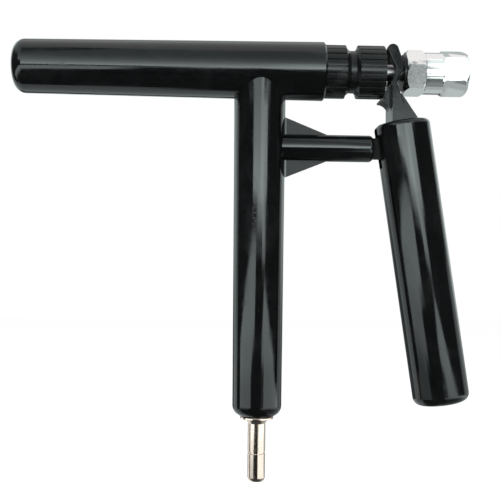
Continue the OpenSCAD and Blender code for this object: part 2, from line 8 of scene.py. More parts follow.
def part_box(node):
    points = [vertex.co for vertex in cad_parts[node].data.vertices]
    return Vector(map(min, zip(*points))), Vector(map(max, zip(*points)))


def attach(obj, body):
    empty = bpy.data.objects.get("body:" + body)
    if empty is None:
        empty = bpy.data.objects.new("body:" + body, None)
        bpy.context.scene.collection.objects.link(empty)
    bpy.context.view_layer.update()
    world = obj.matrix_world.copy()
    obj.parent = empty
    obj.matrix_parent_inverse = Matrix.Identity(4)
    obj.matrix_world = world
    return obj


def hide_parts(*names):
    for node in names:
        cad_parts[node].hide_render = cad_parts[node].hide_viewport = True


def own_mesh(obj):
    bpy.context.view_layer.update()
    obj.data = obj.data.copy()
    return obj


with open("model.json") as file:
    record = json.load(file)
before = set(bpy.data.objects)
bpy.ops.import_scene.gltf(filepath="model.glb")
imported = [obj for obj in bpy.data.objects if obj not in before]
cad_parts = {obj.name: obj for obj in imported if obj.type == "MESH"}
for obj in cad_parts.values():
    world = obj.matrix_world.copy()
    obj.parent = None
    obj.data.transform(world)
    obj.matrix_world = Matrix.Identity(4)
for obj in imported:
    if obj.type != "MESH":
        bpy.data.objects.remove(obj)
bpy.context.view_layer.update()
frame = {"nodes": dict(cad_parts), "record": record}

nodes = frame["nodes"]
scene = bpy.context.scene
scene.view_settings.view_transform = "Standard"
print("frame loaded:", len(nodes), "pieces")

# Camera
cameraSetup = {
    "place": (-0.01958, -0.40506, 0.07323),  # metres
    "yaw": 2.2,  # degrees to the right of +Y
    "pitch": 1.293,
    "roll": 0.599,
    "lens": 60.97,  # mm
    "sensor": 36,  # mm
}


def makeCamera(setup):
    yaw, pitch, roll = (math.radians(setup[k]) for k in ("yaw", "pitch", "roll"))
    right = Vector((math.cos(yaw), -math.sin(yaw), 0))
    ahead = Vector((math.sin(yaw) * math.cos(pitch), math.cos(yaw) * math.cos(pitch), math.sin(pitch)))
    up = right.cross(ahead)
    across = right * math.cos(roll) + up * math.sin(roll)
    upright = up * math.cos(roll) - right * math.sin(roll)
    data = bpy.data.cameras.new("photoCamera")
    data.sensor_width = setup["sensor"]
    data.lens = setup["lens"]
    data.clip_start = 0.01
    data.dof.use_dof = False
    camera = bpy.data.objects.new("photoCamera", data)
    scene.collection.objects.link(camera)
    turn = Matrix((across, upright, -ahead)).transposed().to_4x4()
    camera.matrix_world = Matrix.Translation(setup["place"]) @ turn
    scene.camera = camera


makeCamera(cameraSetup)
print("camera placed")


# Node helpers
def addNode(tree, kind, inputs=None, **settings):
    node = tree.nodes.new(kind)
    for key, value in settings.items():
        setattr(node, key, value)
    for key, value in (inputs or {}).items():
        if isinstance(value, bpy.types.NodeSocket):
            tree.links.new(value, node.inputs[key])
        else:
            node.inputs[key].default_value = value
    return node


def mathNode(tree, operation, a, b=None):
    inputs = {0: a} if b is None else {0: a, 1: b}
    return addNode(tree, "ShaderNodeMath", inputs, operation=operation).outputs[0]


def rampNode(tree, value, low, high, toLow=0.0, toHigh=1.0):
    inputs = {"Value": value, "From Min": low, "From Max": high, "To Min": toLow, "To Max": toHigh}
    return addNode(tree, "ShaderNodeMapRange", inputs, interpolation_type="SMOOTHSTEP").outputs[0]


def newGroup(name, inputs, outputs):
    tree = bpy.data.node_groups.new(name, "ShaderNodeTree")
    for label, kind, value in inputs:
        socket = tree.interface.new_socket(label, in_out="INPUT", socket_type="NodeSocket" + kind)
        if value is not None:
            socket.default_value = value
    for label, kind in outputs:
        tree.interface.new_socket(label, in_out="OUTPUT", socket_type="NodeSocket" + kind)
    return tree, tree.nodes.new("NodeGroupInput").outputs, tree.nodes.new("NodeGroupOutput").inputs


def useGroup(tree, group, inputs):
    return addNode(tree, "ShaderNodeGroup", inputs, node_tree=group).outputs


def noiseNode(tree, place, size, detail, **more):
    inputs = {"Vector": place, "Scale": mathNode(tree, "DIVIDE", 1.0, size), "Detail": detail, **more}
    return addNode(tree, "ShaderNodeTexNoise", inputs).outputs["Fac"]


def mixColours(tree, share, first, second):
    return addNode(tree, "ShaderNodeMix", {"Factor": share, 6: first, 7: second}, data_type="RGBA").outputs[2]


def emptyTree(owner):
    owner.use_nodes = True
    owner.node_tree.nodes.clear()
    return owner.node_tree


def seenDirectly(tree):  # 1 where the camera looks, straight or by way of gloss and glass
    path = addNode(tree, "ShaderNodeLightPath").outputs
    seen = mathNode(tree, "MAXIMUM", path["Is Camera Ray"], path["Is Glossy Ray"])
    return mathNode(tree, "MAXIMUM", seen, path["Is Transmission Ray"])


# Studio: a pale floor, a white surround and curved screens that the gloss mirrors
studio = {
    "floorHeight": -0.19,
    "floorSize": 8.0,
    "floorColour": (0.86, 0.86, 0.86, 1),
    "floorLift": 0.62,
    "ambient": 0.42,
    "lampColour": (0.94, 1.0, 1.0),
    "lampAim": (0, 0, 0.1),
    "lamps": {  # place in metres, power in watts and width in metres
        "softKey": ((-0.55, -0.75, 0.95), 11.0, 0.8),
        "softFill": ((0.8, -0.6, 0.35), 5.0, 0.9),
    },
}
screenTint = (0.89, 1.0, 1.0, 1)


def panel(sides, heights, soft, glow, lean=(0, 0), fade=None):
    return {"sides": sides, "heights": heights, "soft": soft, "glow": glow, "lean": lean, "fade": fade}


# A panel has its sides by turn in degrees to the right of the front, and its heights in metres.
# Its sides lean in degrees a metre, its glow fades upwards in metres, and a glow below 0 takes some away.
frontScreen = {
    "radius": 0.5, "middle": (0.02, 0.0), "span": (-108, 108), "low": -0.1895, "high": 1.5, "dark": 0.06,
    "tint": screenTint,
    "panels": (
        # over the barrel
        panel((-31, 13), (0.146, 3.0), (2.0, 0.006), 5.8, fade=0.12),
        panel((2, 13), (0.146, 0.3), (3.0, 0.03), 1.8),
        panel((-50, -31), (0.27, 3.0), (4.0, 0.03), 2.6, fade=0.25),
        panel((-31, 18), (0.146, 3.0), (2.0, 0.006), 0.6),
        panel((-14, 17), (0.1, 0.146), (5.0, 0.01), 1.7),
        panel((-9, 14), (0.12, 0.146), (3.0, 0.006), 2.8),
        # right of the barrel, by the nuts
        panel((13, 31), (0.146, 0.25), (3.0, 0.006), 5.2),
        panel((18, 40), (0.25, 0.6), (2.0, 0.02), 0.3),
        panel((21.6, 42), (0.25, 0.56), (0.6, 0.02), 1.3),
        panel((16, 45), (0.55, 3.0), (3.0, 0.05), 1.0),
        panel((42, 120), (0.32, 3.0), (3.0, 0.03), 1.0),
        panel((-120, -46), (0.45, 3.0), (4.0, 0.1), 0.9),
        # left blade of light on the grip and the lever
        panel((-86, -19), (0.0, 0.055), (2.0, 0.008), 3.0, lean=(460, 40)),
        panel((-94, -19), (0.055, 0.106), (2.0, 0.008), 3.0, lean=(610, 40)),
        panel((-88, -23), (-0.04, 0.0), (2.0, 0.01), 2.6, lean=(0, 280)),
        panel((-88, -34), (-0.1, -0.04), (2.0, 0.01), 1.9),
        # right blade of light
        panel((12, 26), (0.076, 0.146), (1.5, 0.008), 3.4),
        panel((16, 56), (0.0, 0.055), (2.0, 0.008), 3.0, lean=(130, -560)),
        panel((14, 56), (-0.03, 0.0), (2.0, 0.008), 2.8, lean=(0, -900)),
        panel((25, 44), (-0.1, -0.03), (2.0, 0.008), 2.1, lean=(0, -900)),
        panel((14, 24), (-0.115, -0.045), (1.5, 0.01), 0.3),
        # low, for the hose plug
        panel((-92, -44), (-0.125, -0.1), (3.0, 0.006), 1.1),
        panel((-92, -44), (-1.0, -0.125), (3.0, 0.006), 0.65),
        panel((13, 100), (-1.0, -0.1), (3.0, 0.006), 1.35),
        panel((-44, 13), (-1.0, -0.1), (3.0, 0.01), -0.04),
        # far right, for the lever's rim
        panel((97, 130), (-1.0, 0.13), (3.0, 0.02), 0.6),
    ),
}
backScreen = {
    "radius": 0.65, "middle": (0.02, 0.0), "span": (112, 248), "low": -0.1895, "high": 0.9, "dark": 0.15,
    "tint": screenTint,
    "panels": (
        panel((100, 260), (0.08, 3.0), (3.0, 0.08), 0.4),
        panel((118, 146), (0.03, 0.7), (3.0, 0.08), 0.8),
        panel((214, 242), (0.03, 0.7), (3.0, 0.08), 0.8),
        # light for the fork's web, and less for the thrust washer above it
        panel((184, 202), (0.15, 0.27), (3.0, 0.02), 0.35),
        panel((184, 202), (0.285, 0.45), (3.0, 0.02), -0.4),
        # low, for the undersides
        panel((100, 140), (-1.0, 0.03), (4.0, 0.08), 0.45),
        panel((220, 260), (-1.0, 0.03), (4.0, 0.08), 0.9),
    ),
}
lowScreen = {  # its panels lie by X and Y in metres
    "reach": 0.5, "back": 0.62, "height": -0.1885, "dark": 0.06,
    "tint": screenTint,
    "panels": (
        panel((0.1335, 1.0), (-0.02, 1.0), (0.002, 0.02), 0.4),
        panel((0.15, 1.0), (-0.5, -0.02), (0.01, 0.02), 0.11),
        panel((0.15, 1.0), (-0.22, -0.02), (0.01, 0.08), 0.1),
        panel((0.1335, 1.0), (0.12, 1.0), (0.002, 0.02), 0.15),
        panel((0.1, 0.1335), (-0.02, 1.0), (0.01, 0.01), 0.5),
        panel((-1.0, -0.06), (0.03, 1.0), (0.04, 0.01), 0.9),
        panel((-0.06, 0.04), (0.09, 1.0), (0.04, 0.02), 0.9),
    ),
}


def stageMesh(name, verts, faces, material):
    mesh = bpy.data.meshes.new(name)
    mesh.from_pydata(verts, [], faces)
    mesh.materials.append(material)
    item = bpy.data.objects.new(name, mesh)
    scene.collection.objects.link(item)
    return item


def onlyForGloss(item):
    item.visible_camera = False
    item.visible_diffuse = False
    item.visible_transmission = False
    item.visible_shadow = False


def makePanelMask():
    labels = (
        "Turn", "Height", "Left", "Right", "Low", "High", "SoftTurn", "SoftHeight", "LeanLeft", "LeanRight",
    )
    tree, given, out = newGroup("panelMask", [(label, "Float", 0.0) for label in labels], [("Mask", "Float")])
    left, right = (
        mathNode(tree, "ADD", given[side], mathNode(tree, "MULTIPLY", given["Lean" + side], given["Height"]))
        for side in ("Left", "Right")
    )
    shares = []
    for along, start, end, soft in (
        ("Turn", left, right, "SoftTurn"), ("Height", given["Low"], given["High"], "SoftHeight"),
    ):
        fromStart = mathNode(tree, "SUBTRACT", given[along], start)
        toEnd = mathNode(tree, "SUBTRACT", end, given[along])
        inside = mathNode(tree, "MINIMUM", fromStart, toEnd)
        shares.append(rampNode(tree, mathNode(tree, "DIVIDE", inside, given[soft]), -1.0, 1.0))
    tree.links.new(mathNode(tree, "MULTIPLY", *shares), out["Mask"])
    return tree


panelMask = makePanelMask()


def glowMaterial(name, setup):
    material = bpy.data.materials.new(name)
    tree = emptyTree(material)
    place = addNode(tree, "ShaderNodeUVMap", uv_map="screenPlace").outputs[0]
    along = addNode(tree, "ShaderNodeSeparateXYZ", {0: place}).outputs
    glow = setup["dark"]
    for part in setup["panels"]:
        (left, right), (low, high) = part["sides"], part["heights"]
        mask = useGroup(tree, panelMask, {
            "Turn": along["X"], "Height": along["Y"], "Left": left, "Right": right, "Low": low, "High": high,
            "SoftTurn": part["soft"][0], "SoftHeight": part["soft"][1],
            "LeanLeft": part["lean"][0], "LeanRight": part["lean"][1],
        })["Mask"]
        if part["fade"]:
            rise = mathNode(tree, "DIVIDE", mathNode(tree, "SUBTRACT", low, along["Y"]), part["fade"])
            mask = mathNode(tree, "MULTIPLY", mask, mathNode(tree, "EXPONENT", rise))
        glow = mathNode(tree, "ADD", mathNode(tree, "MULTIPLY", mask, part["glow"]), glow)
    emission = addNode(tree, "ShaderNodeEmission", {"Color": setup["tint"], "Strength": glow})
    tree.links.new(emission.outputs[0], addNode(tree, "ShaderNodeOutputMaterial").inputs["Surface"])
    return material


def makeScreen(name, setup, verts, faces, places):
    screen = stageMesh(name, verts, faces, glowMaterial(name, setup))
    marks = screen.data.uv_layers.new(name="screenPlace")
    for loop in screen.data.loops:
        marks.data[loop.index].uv = places[loop.vertex_index]
    onlyForGloss(screen)


def makeCurvedScreen(name, setup, steps=120):
    start, end = setup["span"]
    heights = (setup["low"], setup["high"])
    places = [(start + (end - start) * i / steps, z) for i in range(steps + 1) for z in heights]
    verts = [
        (setup["middle"][0] + setup["radius"] * math.sin(math.radians(turn)),
         setup["middle"][1] - setup["radius"] * math.cos(math.radians(turn)), z)
        for turn, z in places
    ]
    faces = [(2 * i, 2 * i + 2, 2 * i + 3, 2 * i + 1) for i in range(steps)]
    makeScreen(name, setup, verts, faces, places)


def makeLowScreen(name, setup):
    reach, back = setup["reach"], setup["back"]
    places = [(-reach, -reach), (reach, -reach), (reach, back), (-reach, back)]
    makeScreen(name, setup, [(x, y, setup["height"]) for x, y in places], [(0, 1, 2, 3)], places)


def makeFloor(setup):
    paint = bpy.data.materials.new("paleFloor")
    tree = emptyTree(paint)
    strength = mathNode(tree, "MULTIPLY", seenDirectly(tree), setup["floorLift"])
    lift = addNode(tree, "ShaderNodeEmission", {"Strength": strength})
    matt = addNode(tree, "ShaderNodeBsdfDiffuse", {"Color": setup["floorColour"]})
    both = addNode(tree, "ShaderNodeAddShader", {0: matt.outputs[0], 1: lift.outputs[0]})
    tree.links.new(both.outputs[0], addNode(tree, "ShaderNodeOutputMaterial").inputs["Surface"])
    h, z = setup["floorSize"] / 2, setup["floorHeight"]
    stageMesh("paleFloor", [(-h, -h, z), (h, -h, z), (h, h, z), (-h, h, z)], [(0, 1, 2, 3)], paint)


def makeSurround(setup):
    scene.world = bpy.data.worlds.new("whiteSurround")
    tree = emptyTree(scene.world)
    dim, white = (
        addNode(tree, "ShaderNodeBackground", {"Color": (1, 1, 1, 1), "Strength": strength}).outputs[0]
        for strength in (setup["ambient"], 1.0)
    )
    mix = addNode(tree, "ShaderNodeMixShader", {0: seenDirectly(tree), 1: dim, 2: white})
    tree.links.new(mix.outputs[0], addNode(tree, "ShaderNodeOutputWorld").inputs["Surface"])


def makeLamps(setup):
    for name, (place, power, width) in setup["lamps"].items():
        lamp = bpy.data.lights.new(name, "AREA")
        lamp.energy = power
        lamp.color = setup["lampColour"]
        lamp.size = width
        holder = bpy.data.objects.new(name, lamp)
        scene.collection.objects.link(holder)
        aim = Vector(setup["lampAim"]) - Vector(place)
        holder.matrix_world = Matrix.Translation(place) @ aim.to_track_quat("-Z", "Y").to_matrix().to_4x4()
        holder.visible_glossy = False  # the screens are what the gloss mirrors
        holder.visible_camera = False


makeFloor(studio)
makeSurround(studio)
makeLamps(studio)
makeCurvedScreen("frontScreen", frontScreen)
makeCurvedScreen("backScreen", backScreen)
makeLowScreen("lowScreen", lowScreen)
print("studio built")


# Effects that several finishes share
def makeSmudges(detail=5.0, roughness=0.6, twist=0.7, span=(0.42, 0.7)):
    tree, given, out = newGroup(
        "handlingSmudges", [("Vector", "Vector", None), ("Size", "Float", 0.02)], [("Mask", "Float")])
    cloud = noiseNode(tree, given["Vector"], given["Size"], detail, Roughness=roughness, Distortion=twist)
    tree.links.new(rampNode(tree, cloud, *span), out["Mask"])
    return tree


def makeScratches(lineWidth=0.012, patchShare=0.7, patchSpan=(0.5, 0.65)):
    tree, given, out = newGroup(
        "hairScratches", [("Vector", "Vector", None), ("Reach", "Float", 0.02), ("Amount", "Float", 0.5)],
        [("Mask", "Float")])
    lines = None
    for turn, stretch in (((0.3, 0.5, 0.2), 26.0), ((-0.6, 0.2, 1.1), 34.0)):  # two sets of lines
        turned = addNode(tree, "ShaderNodeMapping", {
            "Vector": given["Vector"], "Rotation": turn, "Scale": (1.0, stretch, stretch)})
        noise = noiseNode(tree, turned.outputs[0], given["Reach"], 1.0)
        offset = mathNode(tree, "ABSOLUTE", mathNode(tree, "SUBTRACT", noise, 0.5))
        line = rampNode(tree, offset, 0.0, lineWidth, 1.0, 0.0)
        lines = line if lines is None else mathNode(tree, "MAXIMUM", lines, line)
    patch = noiseNode(tree, given["Vector"], mathNode(tree, "DIVIDE", given["Reach"], patchShare), 2.0)
    more = mathNode(tree, "SUBTRACT", given["Amount"], 0.5)
    keep = rampNode(tree, mathNode(tree, "ADD", patch, more), *patchSpan)
    tree.links.new(mathNode(tree, "MULTIPLY", lines, keep), out["Mask"])
    return tree


def makeDust(rarity=3.0, rim=0.02):
    tree, given, out = newGroup(
        "dustSpecks", [("Vector", "Vector", None), ("Spacing", "Float", 0.004), ("Size", "Float", 0.06)],
        [("Mask", "Float")])
    cells = addNode(tree, "ShaderNodeTexVoronoi", {
        "Vector": given["Vector"], "Scale": mathNode(tree, "DIVIDE", 1.0, given["Spacing"])})
    chance = addNode(tree, "ShaderNodeSeparateColor", {0: cells.outputs["Color"]}).outputs[0]
    size = mathNode(tree, "MULTIPLY", mathNode(tree, "POWER", chance, rarity), given["Size"])
    speck = mathNode(tree, "SUBTRACT", size, cells.outputs["Distance"])
    tree.links.new(rampNode(tree, speck, 0.0, rim), out["Mask"])
    return tree


def makeGrain():
    tree, given, out = newGroup(
        "surfaceGrain", [("Vector", "Vector", None), ("Fine", "Float", 0.0004), ("Wave", "Float", 0.012),
                         ("WaveShare", "Float", 0.5)], [("Height", "Float")])
    fine = noiseNode(tree, given["Vector"], given["Fine"], 3.0)
    wave = noiseNode(tree, given["Vector"], given["Wave"], 1.0)
    lifted = mathNode(tree, "MULTIPLY", wave, given["WaveShare"])
    tree.links.new(mathNode(tree, "ADD", fine, lifted), out["Height"])
    return tree


def makeBoxMask(rim=0.95):
    tree, given, out = newGroup(
        "boxMask", [("Vector", "Vector", None), ("Middle", "Vector", None), ("Half", "Vector", None)],
        [("Mask", "Float")])
    away = addNode(tree, "ShaderNodeVectorMath", {
        0: given["Vector"], 1: given["Middle"]}, operation="SUBTRACT")
    away = addNode(tree, "ShaderNodeVectorMath", {0: away.outputs[0]}, operation="ABSOLUTE")
    share = addNode(tree, "ShaderNodeVectorMath", {0: away.outputs[0], 1: given["Half"]}, operation="DIVIDE")
    axes = addNode(tree, "ShaderNodeSeparateXYZ", {0: share.outputs[0]}).outputs
    most = mathNode(tree, "MAXIMUM", mathNode(tree, "MAXIMUM", axes[0], axes[1]), axes[2])
    tree.links.new(rampNode(tree, most, rim, 1.0, 1.0, 0.0), out["Mask"])
    return tree


smudges, scratches, dust, grain = makeSmudges(), makeScratches(), makeDust(), makeGrain()
boxMask = makeBoxMask()

# Each finish goes from colour to worn and through its roughness by its smudges; lengths are in metres
dustLook = {"size": 0.07, "colour": (0.4, 0.4, 0.39, 1)}
scratchLook = {"amount": 0.5, "depth": 0.4}
finishes = {
    "black_gloss": {
        "colour": (0.0032, 0.0034, 0.0036), "worn": (0.0065, 0.0067, 0.007), "metal": 0.0,
        "rough": (0.06, 0.14), "smudge": 0.018, "scratch": 0.02, "scratchRough": 0.14,
        "dust": 0.05, "dustSpacing": 0.006, "fine": 0.0005, "wave": 0.016, "waveShare": 3.0, "bump": 0.00001,
        "ior": 1.46,
        "patches": (  # the unpolished gussets and tongue: middle, half size and roughness of each box
            ((0.0235, 0, 0.1318), (0.011, 0.0018, 0.016), 0.5),
            ((0.0622, 0, 0.1318), (0.008, 0.0033, 0.0052), 0.9),
        ),
    },
    "black_satin": {
        "colour": (0.005, 0.0052, 0.0054), "worn": (0.01, 0.01, 0.0105), "metal": 0.0,
        "rough": (0.2, 0.34), "smudge": 0.012, "scratch": 0.014, "scratchRough": 0.12,
        "dust": 0.06, "dustSpacing": 0.004, "fine": 0.00035, "wave": 0.008, "waveShare": 0.6,
        "bump": 0.000006, "ior": 1.35,
    },
    "black_metal": {
        "colour": (0.005, 0.0055, 0.0057), "worn": (0.011, 0.012, 0.0125), "metal": 0.0,
        "rough": (0.14, 0.24), "smudge": 0.01, "scratch": 0.012, "scratchRough": 0.1,
        "dust": 0.1, "dustSpacing": 0.004, "fine": 0.0009, "wave": 0.006, "waveShare": 1.4, "bump": 0.00002,
        "ior": 1.3,
    },
    "bright_metal": {
        "colour": (0.842, 0.82, 0.815), "worn": (0.342, 0.34, 0.345), "metal": 1.0,
        "rough": (0.1, 0.16), "smudge": 0.0021, "scratch": 0.008, "scratchRough": 0.04,
        "dust": 0.0, "dustSpacing": 0.004, "fine": 0.0006, "wave": 0.004, "waveShare": 0.5,
        "bump": 0.0000025, "ior": 1.5,
        # the nut's blotched front: middle and half size of its box, and the blotches' share elsewhere
        "mottled": ((0.0745, -0.0105, 0.1675), (0.006, 0.005, 0.0056), 0.07),
    },
    "rod_steel": {
        "colour": (0.24, 0.228, 0.231), "worn": (0.18, 0.174, 0.174), "metal": 1.0,
        "rough": (0.3, 0.36), "smudge": 0.006, "scratch": 0.01, "scratchRough": 0.1,
        "dust": 0.0, "dustSpacing": 0.004, "fine": 0.0003, "wave": 0.004, "waveShare": 0.4, "bump": 0.000012,
        "ior": 1.5,
    },
    "plated_metal": {
        "colour": (0.83, 0.67, 0.58), "worn": (0.72, 0.57, 0.48), "metal": 1.0,
        "rough": (0.12, 0.22), "smudge": 0.006, "scratch": 0.01, "scratchRough": 0.1,
        "dust": 0.0, "dustSpacing": 0.004, "fine": 0.0004, "wave": 0.005, "waveShare": 0.5, "bump": 0.000003,
        "ior": 1.5,
    },
    "seal_rubber": {
        "colour": (0.018, 0.018, 0.018), "worn": (0.04, 0.04, 0.04), "metal": 0.0,
        "rough": (0.5, 0.72), "smudge": 0.006, "scratch": 0.01, "scratchRough": 0.05,
        "dust": 0.25, "dustSpacing": 0.002, "fine": 0.0003, "wave": 0.004, "waveShare": 0.5, "bump": 0.00003,
        "ior": 1.5,
    },
    "bush_brass": {
        "colour": (0.68, 0.50, 0.22), "worn": (0.52, 0.36, 0.14), "metal": 1.0,
        "rough": (0.2, 0.36), "smudge": 0.005, "scratch": 0.008, "scratchRough": 0.1,
        "dust": 0.0, "dustSpacing": 0.004, "fine": 0.0003, "wave": 0.004, "waveShare": 0.5, "bump": 0.000015,
        "ior": 1.5,
    },
}


def makeFinish(name, look):
    material = bpy.data.materials.new(name)
    material.use_nodes = True
    tree = material.node_tree
    shader = tree.nodes["Principled BSDF"]
    shader.inputs["Metallic"].default_value = look["metal"]
    shader.inputs["IOR"].default_value = look["ior"]
    place = addNode(tree, "ShaderNodeTexCoord").outputs["Object"]

    def insideBox(middle, half):
        return useGroup(tree, boxMask, {"Vector": place, "Middle": middle, "Half": half})["Mask"]

    smudge = useGroup(tree, smudges, {"Vector": place, "Size": look["smudge"]})["Mask"]
    if "mottled" in look:
        middle, half, elsewhere = look["mottled"]
        strength = rampNode(tree, insideBox(middle, half), 0.0, 1.0, elsewhere, 1.0)
        smudge = mathNode(tree, "MULTIPLY", smudge, strength)
    scratch = useGroup(tree, scratches, {
        "Vector": place, "Reach": look["scratch"], "Amount": scratchLook["amount"]})["Mask"]
    colour = mixColours(tree, smudge, (*look["colour"], 1), (*look["worn"], 1))
    if look["dust"]:
        speck = useGroup(tree, dust, {
            "Vector": place, "Spacing": look["dustSpacing"], "Size": dustLook["size"]})["Mask"]
        speck = mathNode(tree, "MULTIPLY", speck, look["dust"])
        colour = mixColours(tree, speck, colour, dustLook["colour"])
    tree.links.new(colour, shader.inputs["Base Color"])
    rough = rampNode(tree, smudge, 0.0, 1.0, *look["rough"])
    rough = mathNode(tree, "ADD", rough, mathNode(tree, "MULTIPLY", scratch, look["scratchRough"]))
    for middle, half, patchRough in look.get("patches", ()):
        inside = insideBox(middle, half)
        rough = addNode(tree, "ShaderNodeMix", {0: inside, 2: rough, 3: patchRough}).outputs[0]
    tree.links.new(rough, shader.inputs["Roughness"])
    height = useGroup(tree, grain, {
        "Vector": place, "Fine": look["fine"], "Wave": look["wave"], "WaveShare": look["waveShare"],
    })["Height"]
    height = mathNode(tree, "SUBTRACT", height, mathNode(tree, "MULTIPLY", scratch, scratchLook["depth"]))
    bump = addNode(tree, "ShaderNodeBump", {"Height": height, "Distance": look["bump"], "Strength": 1.0})
    tree.links.new(bump.outputs[0], shader.inputs["Normal"])
    return material


materials = {name: makeFinish(name, look) for name, look in finishes.items()}
slotOf = {part["node"]: part["material_slot"] for part in frame["record"]["subparts"]}
bodyOf = {node: body for body, held in frame["record"]["behaviour"]["bodies"].items() for node in held}
for name, piece in nodes.items():
    piece.data.materials.clear()
    piece.data.materials.append(materials[slotOf[name]])
print("finishes made:", len(materials))


# Copies of the edged pieces with their edges rounded
roundedEdges = {
    # the fork is rounded on its two faces, above the tube, and its slot's hidden corner clears the tongue
    "lever_yoke": {
        "round": 0.0007, "steps": 4, "freeWidth": True, "outside": 0.007, "above": 0.1475,
        "corner": (0.065, 0.1267), "relief": 0.00006,
    },
    "rod_nut": {"round": 0.00035, "steps": 3},
    "cap_nut": {"round": 0.00035, "steps": 3},
    "thrust_washer": {"round": 0.0002, "steps": 2},
    "port_washer": {"round": 0.00025, "steps": 2},
}
copyCare = {  # metres, and degrees between faces
    "merge": 0.000002, "sliver": 0.000001, "near": 0.00001, "flat": 0.6, "sharp": 33,
}


def finishPiece(name, mesh, node):
    piece = bpy.data.objects.new(name, mesh)
    scene.collection.objects.link(piece)
    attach(piece, bodyOf[node])
    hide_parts(node)
    return piece


def bakeModifiers(holder, name):
    view = bpy.context.evaluated_depsgraph_get()
    mesh = bpy.data.meshes.new_from_object(holder.evaluated_get(view), depsgraph=view)
    mesh.name = name
    bpy.data.objects.remove(holder)
    return mesh


def cleanCopy(work):
    bmesh.ops.remove_doubles(work, verts=work.verts, dist=copyCare["merge"])
    bmesh.ops.dissolve_degenerate(work, edges=work.edges, dist=copyCare["sliver"])
    flat = math.radians(copyCare["flat"])
    bmesh.ops.dissolve_limit(work, angle_limit=flat, verts=work.verts, edges=work.edges)


def markEdges(work, setup):  # the outward edges in reach are rounded, and the other sharp ones stay sharp
    weight = work.edges.layers.float.new("bevel_weight_edge")
    sharp = math.radians(copyCare["sharp"])
    outside, above = setup.get("outside", -1.0), setup.get("above", -1.0)
    for edge in work.edges:
        bend = edge.calc_face_angle_signed(0.0)
        inReach = all(abs(vert.co.y) > outside and vert.co.z > above for vert in edge.verts)
        edge[weight] = 1.0 if bend > sharp and inReach else 0.0
        edge.smooth = abs(bend) < sharp or edge[weight] > 0.5


def relieveCorner(work, corner, relief):
    for vert in work.verts:
        if max(abs(vert.co.x - corner[0]), abs(vert.co.z - corner[1])) < copyCare["near"]:
            vert.co.x += relief


def roundEdges(node, setup):
    name = node + "Rounded"
    mesh = bpy.data.meshes.new(name + "Base")
    work = bmesh.new()
    work.from_mesh(nodes[node].data)
    cleanCopy(work)
    markEdges(work, setup)
    if "corner" in setup:
        relieveCorner(work, setup["corner"], setup["relief"])
    work.to_mesh(mesh)
    work.free()
    if "custom_normal" in mesh.attributes:
        mesh.attributes.remove(mesh.attributes["custom_normal"])
    mesh.materials.clear()
    mesh.materials.append(materials[slotOf[node]])
    mesh.shade_smooth()
    holder = bpy.data.objects.new(name, mesh)
    scene.collection.objects.link(holder)
    bevel = holder.modifiers.new("roundedEdges", "BEVEL")
    bevel.width = setup["round"]
    bevel.segments = setup["steps"]
    bevel.limit_method = "WEIGHT"
    bevel.use_clamp_overlap = not setup.get("freeWidth", False)
    bevel.harden_normals = True
    finishPiece(name, bakeModifiers(holder, name), node)


for node, setup in roundedEdges.items():
    roundEdges(node, setup)
print("edges rounded:", len(roundedEdges))


# Shape trees: geometry nodes that end in one mesh with its finish
def newShapeTree(name, labels):
    tree = bpy.data.node_groups.new(name, "GeometryNodeTree")
    addSocket = tree.interface.new_socket
    addSocket("Geometry", in_out="INPUT", socket_type="NodeSocketGeometry")
    for label in labels:
        addSocket(label, in_out="INPUT", socket_type="NodeSocketFloat")
    addSocket("Finish", in_out="INPUT", socket_type="NodeSocketMaterial")
    addSocket("Geometry", in_out="OUTPUT", socket_type="NodeSocketGeometry")
    return tree, tree.nodes.new("NodeGroupInput").outputs, tree.nodes.new("NodeGroupOutput").inputs


def endShapeTree(tree, shape, finish, out):
    solid = addNode(tree, "GeometryNodeRealizeInstances", {0: shape})
    finished = addNode(tree, "GeometryNodeSetMaterial", {"Geometry": solid.outputs[0], "Material": finish})
    tree.links.new(finished.outputs[0], out[0])


def pointNode(tree, axes):
    return addNode(tree, "ShaderNodeCombineXYZ", axes).outputs[0]


def runShapeTree(tree, base, name, values):
    holder = bpy.data.objects.new(name + "Maker", base)
    scene.collection.objects.link(holder)
    modifier = holder.modifiers.new(tree.name, "NODES")
    modifier.node_group = tree
    ids = {item.name: item.identifier for item in tree.interface.items_tree if item.in_out == "INPUT"}
    for label, value in values.items():
        modifier[ids[label]] = value
    return bakeModifiers(holder, name)


def faceOutwards(mesh):
    work = bmesh.new()
    work.from_mesh(mesh)
    bmesh.ops.recalc_face_normals(work, faces=work.faces)
    work.to_mesh(mesh)
    work.free()


# The ribbed end cap: a turned core with vents, and rows of rounded ribs
ribbedCap = {
    "ribs": 24, "turn": 7.5, "depth": 0.0004, "sink": 0.0002,
    "topShare": 0.74, "footShare": 0.9, "round": 0.0002,
    "leftBand": 0.0097, "rightBand": 0.0123, "bevel": 0.0005, "rings": 24,
    "grooveDepth": 0.0026, "grooveFloor": 0.0026, "grooveSlope": 0.0016,
    "seat": 0.0219, "seatDepth": 0.0088, "chamber": 0.015, "wall": 0.0044, "bushHole": 0.0104,
    "vents": 3, "ventSize": 0.0014, "ventRing": 0.0132, "ventSides": 24, "coreSides": 144,
    "roundSteps": 3, "endTaper": 0.5, "sharp": 31,
}


